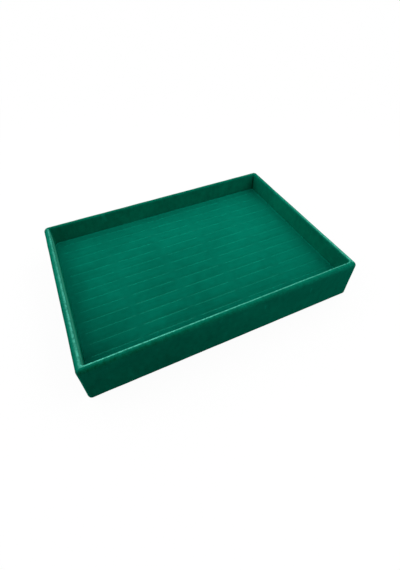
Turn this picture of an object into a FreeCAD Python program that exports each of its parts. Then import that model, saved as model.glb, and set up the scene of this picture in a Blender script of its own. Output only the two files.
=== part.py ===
import FreeCAD, Part
import Sketcher
import os

# Jewelry tray: board walls wrapped in velvet, with a lift-out ring pad that has rows of slits.
# Millimetres, +Z up, +X along the long side, +Y to the back.
# The origin is on the table, under the middle of the tray.

DRIVING_SIZES = {
    # Outside of the velvet
    "tray_length": 120.0,
    "tray_width": 84.0,
    "tray_height": 19.5,
    "corner_radius": 2.2,
    "rim_outer_radius": 1.7,
    "rim_inner_radius": 0.7,
    "bottom_edge_radius": 0.9,
    "lining_corner_radius": 0.8,
    # Sheet goods of the tray
    "velvet_thickness": 0.5,
    "board_thickness": 1.6,
    "base_thickness": 1.6,
    "turn_in_width": 12.0,
    "underside_thickness": 0.2,
    "underside_margin": 3.0,
    "underside_corner_radius": 2.0,
    "stay_thickness": 0.2,
    "stay_leg": 9.0,
    # Lift-out pad
    "pad_clearance": 0.4,
    "pad_corner_radius": 1.6,
    "pad_edge_radius": 1.2,
    "pad_turn_in_width": 8.0,
    "card_thickness": 1.0,
    "foam_thickness": 6.0,
    # Slits for the rings
    "slit_length": 20.4,
    "slit_width": 0.45,
    "slit_gap": 2.0,
    "slit_row_pitch": 5.55,
    "slit_edge_margin": 1.8,
}

# Heights of the layers above the table
WRAP_BOTTOM = "sizes.underside_thickness"
BASE_BOTTOM = f"({WRAP_BOTTOM} + sizes.velvet_thickness)"
BASE_TOP = f"({BASE_BOTTOM} + sizes.base_thickness)"
WALL_TOP = "(sizes.tray_height - sizes.velvet_thickness)"
CARD_BOTTOM = f"({BASE_TOP} + sizes.velvet_thickness)"
CARD_TOP = f"({CARD_BOTTOM} + sizes.card_thickness)"
FOAM_TOP = f"({CARD_TOP} + sizes.foam_thickness)"
PAD_TOP = f"({FOAM_TOP} + sizes.velvet_thickness)"

# Outlines in plan
BOARD_LENGTH = "(sizes.tray_length - 2 * sizes.velvet_thickness)"
BOARD_WIDTH = "(sizes.tray_width - 2 * sizes.velvet_thickness)"
BOARD_CORNER = "min(sizes.corner_radius - sizes.velvet_thickness; 0.9 * sizes.board_thickness)"
WALL_THICKNESS = "(sizes.board_thickness + 2 * sizes.velvet_thickness)"
CAVITY_LENGTH = f"(sizes.tray_length - 2 * {WALL_THICKNESS})"
CAVITY_WIDTH = f"(sizes.tray_width - 2 * {WALL_THICKNESS})"
PAD_LENGTH = f"({CAVITY_LENGTH} - 2 * sizes.pad_clearance)"
PAD_WIDTH = f"({CAVITY_WIDTH} - 2 * sizes.pad_clearance)"
FOAM_LENGTH = f"({PAD_LENGTH} - 2 * sizes.velvet_thickness)"
FOAM_WIDTH = f"({PAD_WIDTH} - 2 * sizes.velvet_thickness)"
FOAM_CORNER = "(sizes.pad_corner_radius - sizes.velvet_thickness)"
FOAM_EDGE = "(sizes.pad_edge_radius - sizes.velvet_thickness)"

# Rounding of the rim, held inside the wall, and of the boards under it
RIM_OUTER = f"min(sizes.rim_outer_radius; 0.7 * {WALL_THICKNESS})"
RIM_INNER = f"min(sizes.rim_inner_radius; 0.9 * ({WALL_THICKNESS} - {RIM_OUTER}))"
BOARD_RIM = f"min({RIM_OUTER} - sizes.velvet_thickness; 0.8 * sizes.board_thickness)"

# Grid of slits: as many as fit inside the margin, columns centred, rows counted from the front
COLUMN_PITCH = "(sizes.slit_length + sizes.slit_gap)"
COLUMN_ROOM = f"({PAD_LENGTH} - 2 * sizes.slit_edge_margin + sizes.slit_gap)"
ROW_ROOM = f"({PAD_WIDTH} - 2 * sizes.slit_edge_margin)"
COLUMNS = f"floor({COLUMN_ROOM} / {COLUMN_PITCH})"
ROWS = f"(floor({ROW_ROOM} / sizes.slit_row_pitch) + 1)"
FIRST_COLUMN_X = f"(-({COLUMNS} - 1) / 2 * {COLUMN_PITCH})"
FIRST_ROW_Y = f"(sizes.slit_edge_margin - {PAD_WIDTH} / 2)"

TOLERANCE = 1e-4

doc = FreeCAD.newDocument("jewelry_tray")
sizes = doc.addObject("Spreadsheet::Sheet", "sizes")
for line, (alias, number) in enumerate(DRIVING_SIZES.items(), start=1):
    sizes.set(f"A{line}", alias)
    sizes.set(f"B{line}", str(number))
    sizes.setAlias(f"B{line}", alias)
doc.recompute()


def value(expression):
    """Work out an expression on the sheet's sizes as a number."""
    return float(sizes.evalExpression(expression))


def new_body(name):
    """Start an empty body."""
    return doc.addObject("PartDesign::Body", name)


def level_sketch(body, name, height):
    """Start a sketch on the level plane at a height."""
    sketch = body.newObject("Sketcher::SketchObject", name)
    ground = next(plane for plane in body.Origin.OriginFeatures if plane.Role == "XY_Plane")
    sketch.AttachmentSupport = (ground, [""])
    sketch.MapMode = "FlatFace"
    sketch.setExpression("AttachmentOffset.Base.z", height)
    return sketch


def draw_outline(sketch, points):
    """Draw a closed outline of level and upright lines, and hold them so."""
    count = len(points)
    corners = [FreeCAD.Vector(x, y, 0) for x, y in points]
    for index in range(count):
        sketch.addGeometry(Part.LineSegment(corners[index], corners[(index + 1) % count]))
    for index in range(count):
        following = (index + 1) % count
        sketch.addConstraint(Sketcher.Constraint("Coincident", index, 2, following, 1))
        level = abs(points[index][1] - points[following][1]) < TOLERANCE
        sketch.addConstraint(Sketcher.Constraint("Horizontal" if level else "Vertical", index))


def set_distance(sketch, kind, first, second, expression):
    """Hold the distance from one point of a sketch to another by an expression."""
    index = sketch.addConstraint(Sketcher.Constraint(kind, *first, *second, value(expression)))
    sketch.setExpression(f"Constraints[{index}]", expression)


def rectangle(body, name, length, width, height, centre_x="0", centre_y="0"):
    """Draw a rectangle about its centre."""
    sketch = level_sketch(body, name, height)
    sketch.setExpression("AttachmentOffset.Base.x", centre_x)
    sketch.setExpression("AttachmentOffset.Base.y", centre_y)
    half_length = value(length) / 2
    half_width = value(width) / 2
    draw_outline(sketch, [(-half_length, -half_width), (half_length, -half_width),
                          (half_length, half_width), (-half_length, half_width)])
    sketch.addConstraint(Sketcher.Constraint("Symmetric", 0, 1, 1, 2, -1, 1))
    set_distance(sketch, "DistanceX", (0, 1), (0, 2), length)
    set_distance(sketch, "DistanceY", (1, 1), (1, 2), width)
    return sketch


def pad(body, name, sketch, depth):
    """Raise a sketch by a depth."""
    feature = body.newObject("PartDesign::Pad", name)
    feature.Profile = sketch
    feature.setExpression("Length", depth)
    doc.recompute()
    return feature


def pocket_upward(body, name, sketch, depth):
    """Cut a sketch upward into the body by a depth, and make sure that something was cut."""
    before = body.Shape.Volume
    feature = body.newObject("PartDesign::Pocket", name)
    feature.Profile = sketch
    feature.Reversed = True
    feature.setExpression("Length", depth)
    doc.recompute()
    if body.Shape.Volume >= before - TOLERANCE:
        raise RuntimeError(f"{name} cut nothing")
    return feature


def round_edges(body, name, edges, radius):
    """Round some edges of the body's last feature."""
    base = body.Tip
    names = [f"Edge{number}" for number, edge in enumerate(base.Shape.Edges, start=1)
             if any(edge.isSame(wanted) for wanted in edges)]
    feature = body.newObject("PartDesign::Fillet", name)
    feature.Base = (base, names)
    feature.setExpression("Radius", radius)
    doc.recompute()
    return feature


def upright_edges(body, reach_x, reach_y):
    """Upright edges that stand at these distances from the middle planes."""
    found = []
    for edge in body.Tip.Shape.Edges:
        box = edge.BoundBox
        upright = box.XLength < TOLERANCE and box.YLength < TOLERANCE
        at_x = abs(abs(box.XMin) - reach_x) < TOLERANCE
        at_y = abs(abs(box.YMin) - reach_y) < TOLERANCE
        if upright and at_x and at_y:
            found.append(edge)
    return found


def level_face(body, height):
    """Flat face that lies at a height."""
    return next(face for face in body.Tip.Shape.Faces
                if abs(face.BoundBox.ZMin - height) < TOLERANCE and abs(face.BoundBox.ZMax - height) < TOLERANCE)


def plate(name, length, width, bottom, depth, corner_radius):
    """Flat sheet with round corners."""
    body = new_body(name)
    pad(body, f"{name}_sheet", rectangle(body, f"{name}_outline", length, width, bottom), depth)
    corners = upright_edges(body, value(length) / 2, value(width) / 2)
    round_edges(body, f"{name}_corners", corners, corner_radius)
    return body


def cut(name, base, tool):
    """Take the tool's space out of the base."""
    feature = doc.addObject("Part::Cut", name)
    feature.Base = base
    feature.Tool = tool
    doc.recompute()
    return feature


def union(name, shapes):
    """Join the space of several pieces into one tool."""
    feature = doc.addObject("Part::MultiFuse", name)
    feature.Shapes = shapes
    doc.recompute()
    return feature


def round_rim(body, name, outward):
    """Round the outer top edge of a wall board."""
    top = level_face(body, value(WALL_TOP))
    edge = max(top.Edges, key=lambda candidate: candidate.CenterOfMass.dot(outward))
    round_edges(body, name, [edge], BOARD_RIM)


def long_wall_board(name, side):
    """Front or back wall, with its outer upright edges and its rim rounded under the velvet."""
    body = new_body(name)
    centre_y = f"({side} * ({BOARD_WIDTH} - sizes.board_thickness) / 2)"
    outline = rectangle(body, f"{name}_outline", BOARD_LENGTH, "sizes.board_thickness", BASE_TOP, "0", centre_y)
    pad(body, f"{name}_sheet", outline, f"{WALL_TOP} - {BASE_TOP}")
    ends = upright_edges(body, value(BOARD_LENGTH) / 2, value(BOARD_WIDTH) / 2)
    round_edges(body, f"{name}_ends", ends, BOARD_CORNER)
    round_rim(body, f"{name}_rim", FreeCAD.Vector(0, side, 0))
    return body


def short_wall_board(name, side):
    """Left or right wall, which fits between the long ones and has the same rim."""
    body = new_body(name)
    centre_x = f"({side} * ({BOARD_LENGTH} - sizes.board_thickness) / 2)"
    span = f"({BOARD_WIDTH} - 2 * sizes.board_thickness)"
    outline = rectangle(body, f"{name}_outline", "sizes.board_thickness", span, BASE_TOP, centre_x, "0")
    pad(body, f"{name}_sheet", outline, f"{WALL_TOP} - {BASE_TOP}")
    round_rim(body, f"{name}_rim", FreeCAD.Vector(side, 0, 0))
    return body


def corner_stay(name):
    """Paper tape bent round the outside of the front left corner, up to where the rim bends in."""
    body = new_body(name)
    sketch = level_sketch(body, f"{name}_outline", BASE_BOTTOM)
    inner_x = -value(BOARD_LENGTH) / 2
    inner_y = -value(BOARD_WIDTH) / 2
    outer_x = inner_x - value("sizes.stay_thickness")
    outer_y = inner_y - value("sizes.stay_thickness")
    leg = value("sizes.stay_leg")
    draw_outline(sketch, [(outer_x, outer_y), (outer_x + leg, outer_y), (outer_x + leg, inner_y),
                          (inner_x, inner_y), (inner_x, outer_y + leg), (outer_x, outer_y + leg)])
    set_distance(sketch, "DistanceX", (0, 1), (0, 2), "sizes.stay_leg")
    set_distance(sketch, "DistanceY", (5, 2), (5, 1), "sizes.stay_leg")
    set_distance(sketch, "DistanceY", (1, 1), (1, 2), "sizes.stay_thickness")
    set_distance(sketch, "DistanceX", (4, 2), (4, 1), "sizes.stay_thickness")
    set_distance(sketch, "DistanceX", (2, 2), (-1, 1), f"{BOARD_LENGTH} / 2")
    set_distance(sketch, "DistanceY", (2, 2), (-1, 1), f"{BOARD_WIDTH} / 2")
    pad(body, f"{name}_tape", sketch, f"{WALL_TOP} - {BOARD_RIM} - {BASE_BOTTOM}")
    round_edges(body, f"{name}_bend_inside", upright_edges(body, -inner_x, -inner_y), BOARD_CORNER)
    round_edges(body, f"{name}_bend_outside", upright_edges(body, -outer_x, -outer_y),
                f"{BOARD_CORNER} + sizes.stay_thickness")
    return body


def mirrored(name, source, normal):
    """Mirror image of a piece about a middle plane of the tray."""
    feature = doc.addObject("Part::Mirroring", name)
    feature.Source = source
    feature.Normal = normal
    doc.recompute()
    return feature


def velvet_wrap(name, boards):
    """Velvet skin outside, over the rim, down the inside and in under the base."""
    body = new_body(f"{name}_blank")
    outline = rectangle(body, "wrap_outline", "sizes.tray_length", "sizes.tray_width", WRAP_BOTTOM)
    pad(body, "wrap_block", outline, f"sizes.tray_height - {WRAP_BOTTOM}")
    corners = upright_edges(body, value("sizes.tray_length") / 2, value("sizes.tray_width") / 2)
    round_edges(body, "wrap_corners", corners, "sizes.corner_radius")
    cavity = rectangle(body, "cavity_outline", CAVITY_LENGTH, CAVITY_WIDTH, BASE_TOP)
    pocket_upward(body, "wrap_cavity", cavity, f"sizes.tray_height - {BASE_TOP}")
    lining_corners = upright_edges(body, value(CAVITY_LENGTH) / 2, value(CAVITY_WIDTH) / 2)
    round_edges(body, "lining_corners", lining_corners, "sizes.lining_corner_radius")
    rim = level_face(body, value("sizes.tray_height"))
    round_edges(body, "rim_outer_edge", rim.OuterWire.Edges, RIM_OUTER)
    rim = level_face(body, value("sizes.tray_height"))
    inner_wire = next(wire for wire in rim.Wires if not wire.isSame(rim.OuterWire))
    round_edges(body, "rim_inner_edge", inner_wire.Edges, RIM_INNER)
    foot = level_face(body, value(WRAP_BOTTOM))
    round_edges(body, "wrap_bottom_edge", foot.OuterWire.Edges, "sizes.bottom_edge_radius")
    window = rectangle(body, "turn_in_outline", "sizes.tray_length - 2 * sizes.turn_in_width",
                       "sizes.tray_width - 2 * sizes.turn_in_width", WRAP_BOTTOM)
    pocket_upward(body, "turn_in_window", window, "sizes.velvet_thickness")
    return cut(name, body, union("board_space", boards))


def pad_block(name, length, width, bottom, depth, corner_radius, edge_radius):
    """Block with round corners and a soft top edge."""
    body = new_body(name)
    pad(body, f"{name}_block", rectangle(body, f"{name}_outline", length, width, bottom), depth)
    corners = upright_edges(body, value(length) / 2, value(width) / 2)
    round_edges(body, f"{name}_corners", corners, corner_radius)
    top = level_face(body, value(f"{bottom} + {depth}"))
    round_edges(body, f"{name}_top_edge", top.OuterWire.Edges, edge_radius)
    return body


def slit_die(name):
    """Knife blades of the cutting die: one blade, repeated in columns and rows."""
    body = new_body(name)
    blade = rectangle(body, "blade_outline", "sizes.slit_length", "sizes.slit_width", CARD_TOP,
                      FIRST_COLUMN_X, FIRST_ROW_Y)
    first = pad(body, "first_blade", blade, f"{PAD_TOP} - {CARD_TOP} + sizes.velvet_thickness")
    grid = body.newObject("PartDesign::LinearPattern", "blade_grid")
    grid.Originals = [first]
    grid.Direction = (blade, ["H_Axis"])
    grid.setExpression("Length", f"({COLUMNS} - 1) * {COLUMN_PITCH}")
    grid.setExpression("Occurrences", COLUMNS)
    grid.Direction2 = (blade, ["V_Axis"])
    grid.setExpression("Length2", f"({ROWS} - 1) * sizes.slit_row_pitch")
    grid.setExpression("Occurrences2", ROWS)
    body.Tip = grid
    doc.recompute()
    if len(body.Shape.Solids) != value(f"{COLUMNS} * {ROWS}"):
        raise RuntimeError(f"{name} has {len(body.Shape.Solids)} blades")
    return body


def pad_velvet(name, filling, die):
    """Velvet cover of the pad, turned in under the card and slit with the foam."""
    blank = pad_block(f"{name}_blank", PAD_LENGTH, PAD_WIDTH, BASE_TOP, f"({PAD_TOP} - {BASE_TOP})",
                      "sizes.pad_corner_radius", "sizes.pad_edge_radius")
    window = rectangle(blank, "pad_turn_in_outline", f"{PAD_LENGTH} - 2 * sizes.pad_turn_in_width",
                       f"{PAD_WIDTH} - 2 * sizes.pad_turn_in_width", BASE_TOP)
    pocket_upward(blank, "pad_turn_in_window", window, "sizes.velvet_thickness")
    cover = cut(f"{name}_cover", blank, union("pad_filling", filling))
    return cut(name, cover, die)


base_board = plate("base_board", BOARD_LENGTH, BOARD_WIDTH, BASE_BOTTOM, "sizes.base_thickness", BOARD_CORNER)
front_wall_board = long_wall_board("front_wall_board", -1)
back_wall_board = long_wall_board("back_wall_board", 1)
left_wall_board = short_wall_board("left_wall_board", -1)
right_wall_board = short_wall_board("right_wall_board", 1)
wall_boards = [front_wall_board, back_wall_board, left_wall_board, right_wall_board]

across_length = FreeCAD.Vector(1, 0, 0)
across_width = FreeCAD.Vector(0, 1, 0)
front_left_stay = corner_stay("corner_stay_front_left")
front_right_stay = mirrored("corner_stay_front_right", front_left_stay, across_length)
back_left_stay = mirrored("corner_stay_back_left", front_left_stay, across_width)
back_right_stay = mirrored("corner_stay_back_right", front_right_stay, across_width)
stays = [front_left_stay, front_right_stay, back_left_stay, back_right_stay]

wrap = velvet_wrap("velvet_wrap", [base_board] + wall_boards + stays)
underside_sheet = plate("underside_sheet", "sizes.tray_length - 2 * sizes.underside_margin",
                        "sizes.tray_width - 2 * sizes.underside_margin", "0", "sizes.underside_thickness",
                        "sizes.underside_corner_radius")

pad_card = plate("pad_card", FOAM_LENGTH, FOAM_WIDTH, CARD_BOTTOM, "sizes.card_thickness", FOAM_CORNER)
foam_blank = pad_block("foam_blank", FOAM_LENGTH, FOAM_WIDTH, CARD_TOP, "sizes.foam_thickness",
                       FOAM_CORNER, FOAM_EDGE)
die = slit_die("slit_die")
pad_foam = cut("pad_foam", foam_blank, die)
cover = pad_velvet("pad_velvet", [pad_card, foam_blank], die)

nodes = [underside_sheet, wrap, base_board] + wall_boards + stays + [pad_card, pad_foam, cover]

for item in doc.Objects:
    if "Invalid" in item.State or "Error" in item.State:
        raise RuntimeError(f"{item.Label} failed to build: {item.State}")
for node in nodes:
    if node.Shape.isNull() or not node.Shape.isValid():
        raise RuntimeError(f"{node.Label} has no valid shape")
    if len(node.Shape.Solids) != 1:
        raise RuntimeError(f"{node.Label} has {len(node.Shape.Solids)} solids")

os.makedirs("parts", exist_ok=True)
for node in nodes:
    node.Shape.exportStep(f"parts/{node.Label}.step")
    box = node.Shape.optimalBoundingBox()
    print(f"{node.Label}: {box.XLength:.2f} x {box.YLength:.2f} x {box.ZLength:.2f} mm, {node.Shape.Volume:.1f} mm3")
print(f"slits: {value(COLUMNS):.0f} columns, {value(ROWS):.0f} rows")
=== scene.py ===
# %% [markdown]
# A velvet jewelry tray, dressed in Blender
# The tray arrives as measured solids: boards, paper stays, foam and two plain velvet skins, all in one frame.
# Nothing here moves or resizes those solids. Each step below gives one of them its finish,
# or builds a better looking cloth or foam piece in the very space that its plain solid holds.

# %% Load the measured tray
import math

import bmesh
import bpy
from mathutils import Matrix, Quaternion, Vector, noise


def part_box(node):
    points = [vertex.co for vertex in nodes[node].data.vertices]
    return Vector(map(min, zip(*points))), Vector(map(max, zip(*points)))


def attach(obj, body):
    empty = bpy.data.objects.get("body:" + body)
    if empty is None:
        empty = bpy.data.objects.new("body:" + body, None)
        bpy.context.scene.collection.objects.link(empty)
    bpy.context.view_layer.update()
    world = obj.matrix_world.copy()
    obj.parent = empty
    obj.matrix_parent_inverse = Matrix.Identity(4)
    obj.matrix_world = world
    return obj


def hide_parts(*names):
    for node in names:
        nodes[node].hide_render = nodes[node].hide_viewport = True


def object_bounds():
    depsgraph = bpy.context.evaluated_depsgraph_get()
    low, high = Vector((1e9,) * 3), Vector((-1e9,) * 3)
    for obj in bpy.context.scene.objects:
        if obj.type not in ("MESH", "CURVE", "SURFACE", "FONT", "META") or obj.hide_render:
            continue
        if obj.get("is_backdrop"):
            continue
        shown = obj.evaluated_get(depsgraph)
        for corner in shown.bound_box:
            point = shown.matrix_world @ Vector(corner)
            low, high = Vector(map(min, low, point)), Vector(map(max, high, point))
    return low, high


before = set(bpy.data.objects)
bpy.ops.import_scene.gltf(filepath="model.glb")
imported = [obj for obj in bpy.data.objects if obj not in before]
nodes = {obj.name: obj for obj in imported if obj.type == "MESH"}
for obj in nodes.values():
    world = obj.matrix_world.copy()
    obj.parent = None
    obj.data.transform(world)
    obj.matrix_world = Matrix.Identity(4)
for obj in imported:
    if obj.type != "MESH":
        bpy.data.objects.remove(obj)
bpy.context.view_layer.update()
scene = bpy.context.scene
MM = 0.001

# %% [markdown]
# The camera
# The picture was taken from close by, a little to the left of the middle, looking down at about 45 degrees.
# A camera could be placed by eye, but the tray is a box of known size, so its edges in the picture fix
# the lens, the place and the tilt. Blender's lens shift carries the small offset of the optical centre.

# %% Stand the camera where the picture was taken
PHOTO_WIDTH = 400
PHOTO_HEIGHT = 570
FOCAL_PIXELS = 340.1
OPTICAL_CENTRE = (197.6, 263.2)
CAMERA_PLACE = Vector((-44.06, -106.62, 124.05)) * MM
CAMERA_AZIMUTH = math.radians(23.96)
CAMERA_PITCH = math.radians(45.40)
CAMERA_ROLL = math.radians(-0.99)
NEAREST_SEEN = 10 * MM


def photo_camera():
    """Camera whose picture of the tray lies on the photograph's."""
    lens = bpy.data.cameras.new("photo_camera")
    lens.lens = FOCAL_PIXELS * lens.sensor_width / PHOTO_HEIGHT
    lens.shift_x = (PHOTO_WIDTH / 2 - OPTICAL_CENTRE[0]) / PHOTO_HEIGHT
    lens.shift_y = (OPTICAL_CENTRE[1] - PHOTO_HEIGHT / 2) / PHOTO_HEIGHT
    lens.clip_start = NEAREST_SEEN
    camera = bpy.data.objects.new("photo_camera", lens)
    level = math.cos(CAMERA_PITCH)
    ahead = Vector((math.sin(CAMERA_AZIMUTH) * level,
                    math.cos(CAMERA_AZIMUTH) * level,
                    -math.sin(CAMERA_PITCH)))
    roll = Quaternion((0, 0, 1), CAMERA_ROLL)
    camera.rotation_mode = "QUATERNION"
    camera.rotation_quaternion = ahead.to_track_quat("-Z", "Y") @ roll
    camera.location = CAMERA_PLACE
    scene.collection.objects.link(camera)
    scene.camera = camera
    return camera


camera = photo_camera()
print(f"lens {camera.data.lens:.2f} mm at {camera.location.length:.3f} m from the tray's middle")

# %% [markdown]
# Node graphs written as sums
# Shader and geometry nodes are easier to read as arithmetic than as lists of links.
# A Wire stands for one socket, and each sum on it adds a Math node. A Graph makes any other node
# from its type, its settings and what goes into its sockets.


# %% A small language for node graphs
class Wire:
    """One output socket, on which sums add Math nodes."""

    def __init__(self, graph, socket):
        self.graph = graph
        self.socket = socket

    def math(self, operation, *values, clamp=False):
        settings = {"operation": operation, "use_clamp": clamp}
        return self.graph.node("ShaderNodeMath", settings, dict(enumerate(values)))

    def __add__(self, other):
        return self.math("ADD", self, other)

    def __sub__(self, other):
        return self.math("SUBTRACT", self, other)

    def __rsub__(self, other):
        return self.math("SUBTRACT", other, self)

    def __mul__(self, other):
        return self.math("MULTIPLY", self, other)

    def __truediv__(self, other):
        return self.math("DIVIDE", self, other)

    __radd__ = __add__
    __rmul__ = __mul__

    def ramp(self, low, high):
        """Rises smoothly from 0 at low to 1 at high."""
        return self.graph.node("ShaderNodeMapRange", {"interpolation_type": "SMOOTHSTEP"},
                               {"Value": self, "From Min": low, "From Max": high})

    def between(self, low, high):
        """Goes from low to high as this goes from 0 to 1."""
        return low + (high - low) * self

    def spread(self, amount):
        """Noise as a change of up to half the amount, down or up."""
        return self.between(-amount / 2, amount / 2)


class Graph:
    """A node tree of a material, a world or a modifier."""

    def __init__(self, tree):
        self.tree = tree

    def join(self, socket, value):
        if isinstance(value, Wire):
            self.tree.links.new(value.socket, socket)
        else:
            socket.default_value = value

    def node(self, kind, settings=None, inputs=None, output=0):
        """Make a node: first its settings, then what goes into its sockets."""
        made = self.tree.nodes.new(kind)
        for name, value in (settings or {}).items():
            setattr(made, name, value)
        for name, value in (inputs or {}).items():
            self.join(made.inputs[name], value)
        return Wire(self, made.outputs[output])

    def axes(self, place, names):
        """Single coordinates of a place."""
        return [self.node("ShaderNodeSeparateXYZ", {}, {"Vector": place}, output=name) for name in names]


print("sums on sockets are ready")

# %% [markdown]
# A finish
# Each material of the tray is one Principled shader, fed by noise, by marks on the mesh and by place.
# A Finish holds such a material and has a word for each of those, so that the recipes below stay short.
# All patterns lie in Object coordinates, which are the tray's own metres, so they keep their true scale.


# %% A material to write recipes in
class Finish(Graph):
    """A material with one Principled shader."""

    def __init__(self, name):
        self.material = bpy.data.materials.new(name)
        self.material.use_nodes = True
        super().__init__(self.material.node_tree)
        self.shader = self.tree.nodes["Principled BSDF"]
        self.place = self.node("ShaderNodeTexCoord", output="Object")

    def set(self, **sockets):
        """Fill the shader's own sockets, named with _ for a space."""
        for name, value in sockets.items():
            self.join(self.shader.inputs[name.replace("_", " ")], value)

    def noise(self, scale, detail=2.0, stretch=(1, 1, 1), distortion=0.0):
        """Smooth noise about 1 / scale metres large, longer where stretch is small."""
        place = self.node("ShaderNodeMapping", {}, {"Vector": self.place, "Scale": stretch})
        values = {"Vector": place, "Scale": scale, "Detail": detail, "Distortion": distortion}
        return self.node("ShaderNodeTexNoise", {}, values)

    def attribute(self, name):
        return self.node("ShaderNodeAttribute", {"attribute_name": name}, output="Fac")

    def shade(self, colour, factor):
        """A colour made lighter or darker."""
        return self.node("ShaderNodeVectorMath", {"operation": "SCALE"}, {0: colour[:3], "Scale": factor})

    def mix(self, factor, first, second):
        settings = {"data_type": "RGBA", "clamp_factor": True}
        return self.node("ShaderNodeMix", settings, {0: factor, 6: first, 7: second}, output=2)

    def bump(self, height, depth, strength):
        values = {"Height": height, "Distance": depth, "Strength": strength}
        self.set(Normal=self.node("ShaderNodeBump", {}, values))


print("finishes are ready")

# %% [markdown]
# The floor
# The tray stands on a white sweep. The floor and the world are white only to rays that the camera, gloss
# or glass sends, and dark to the light that bounces back up, so that the upright walls keep the depth that
# they have in the picture. Near the tray a part of the floor's colour is ordinary matt paint, so that
# the tray still casts its soft shadow there.

# %% Lay the floor
WHITE = (1, 1, 1, 1)
FLOOR_SIZE = 6.0
FLOOR_GREY = (0.05, 0.05, 0.05, 1)
FLOOR_GLOW = 0.94
SHADOW_REACH = 0.09
FLOOR_FADE = 0.30


def seen_rays(graph):
    """One for the rays that show the background."""
    camera_ray, glossy, clear = (graph.node("ShaderNodeLightPath", output=name) for name in
                                 ("Is Camera Ray", "Is Glossy Ray", "Is Transmission Ray"))
    return camera_ray.math("ADD", camera_ray, camera_ray.math("MAXIMUM", glossy, clear), clamp=True)


def floor_paint():
    """Paint that is white to the eye and keeps the shadow."""
    paint = Finish("floor_paint")
    seen = seen_rays(paint)
    paint.set(Base_Color=paint.mix(seen, FLOOR_GREY, WHITE), Roughness=1.0, Specular_IOR_Level=0.0)
    glow = paint.node("ShaderNodeEmission", {}, {"Color": WHITE, "Strength": 1.0})
    surface = Wire(paint, paint.shader.outputs["BSDF"])
    distance = paint.node("ShaderNodeVectorMath", {"operation": "LENGTH"}, {0: paint.place}, output="Value")
    share = distance.ramp(SHADOW_REACH, FLOOR_FADE).between(FLOOR_GLOW, 1)
    both = paint.node("ShaderNodeMixShader", {}, {0: seen * share, 1: surface, 2: glow})
    paint.join(paint.tree.nodes["Material Output"].inputs["Surface"], both)
    return paint.material


def white_floor():
    """Level floor, which is not part of the tray."""
    mesh = bmesh.new()
    bmesh.ops.create_grid(mesh, x_segments=1, y_segments=1, size=FLOOR_SIZE / 2)
    floor = bpy.data.objects.new("floor", bpy.data.meshes.new("floor"))
    mesh.to_mesh(floor.data)
    mesh.free()
    floor.data.materials.append(floor_paint())
    scene.collection.objects.link(floor)
    floor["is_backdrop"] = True


def studio_world():
    """World that is white to the eye and gives no light."""
    world = bpy.data.worlds.new("studio")
    world.use_nodes = True
    scene.world = world
    graph = Graph(world.node_tree)
    background = world.node_tree.nodes["Background"]
    graph.join(background.inputs["Color"], WHITE)
    graph.join(background.inputs["Strength"], seen_rays(graph))


white_floor()
studio_world()
print(f"floor {FLOOR_SIZE:.0f} m wide")

# %% [markdown]
# The lamps
# Five square lamps stand in a circle and give a plain soft light. The strong ones are to the tray's right,
# to its left and in front. Two weaker ones behind it open up the walls that face away from those,
# so no corner goes black.

# %% Hang the lamps
LAMP_SIZE = 0.4
LAMPS = {"right_lamp": (Vector((0.35, 0, 0.35)), 1.41),
         "front_lamp": (Vector((0.16, -0.36, 0.30)), 1.05),
         "left_lamp": (Vector((-0.35, 0, 0.35)), 1.11),
         "back_lamp": (Vector((0, 0.35, 0.35)), 0.61),
         "corner_lamp": (Vector((-0.30, 0.30, 0.25)), 0.81)}


def lamp(name, place, power):
    """Square lamp that faces the tray."""
    light = bpy.data.lights.new(name, "AREA")
    light.size = LAMP_SIZE
    light.energy = power
    holder = bpy.data.objects.new(name, light)
    holder.location = place
    holder.rotation_euler = place.to_track_quat("Z", "Y").to_euler()
    holder.visible_camera = False
    scene.collection.objects.link(holder)


scene.view_settings.view_transform = "Standard"
for name, (place, power) in LAMPS.items():
    lamp(name, place, power)
    print(f"{name} of {power:.2f} W, {place.z:.2f} m above the floor")

# %% [markdown]
# Velvet
# Velvet is a short upright pile, so it has no gloss. It is deep in colour where one looks into the pile and
# bright where one looks across the tips. It could be grown as hair, but a pile so short reads as a surface.
# So the sheen of the Principled shader does the bright part, and noise of several sizes the deep one:
# single tufts, small dents, brushed patches and streaks along the nap. One recipe serves both velvets,
# each with its own colour, sheen and nap.

# %% Write the recipe for velvet
SHEEN_TINT = (0.004, 1.0, 0.64, 1)
SHEEN_ROUGHNESS = 0.50
PILE_ROUGHNESS = (0.85, 1.0)
PILE_DEPTH = 0.12 * MM
PILE_RELIEF = 0.6
TUFTS_IN_RELIEF = 0.6
TUFT_SCALE = 3000
TUFT_SPREAD = 0.30
DENT_SCALE = 420
DENT_SPREAD = 0.45
PATCH_SCALE = 60
PATCH_SPREAD = 0.75
PATCH_SWIRL = 0.6
STREAK_SCALE = 600
STREAK_SPREAD = 0.45
FINE_DETAIL = 3.0
NOISE_RANGE = (0.30, 0.70)


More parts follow.
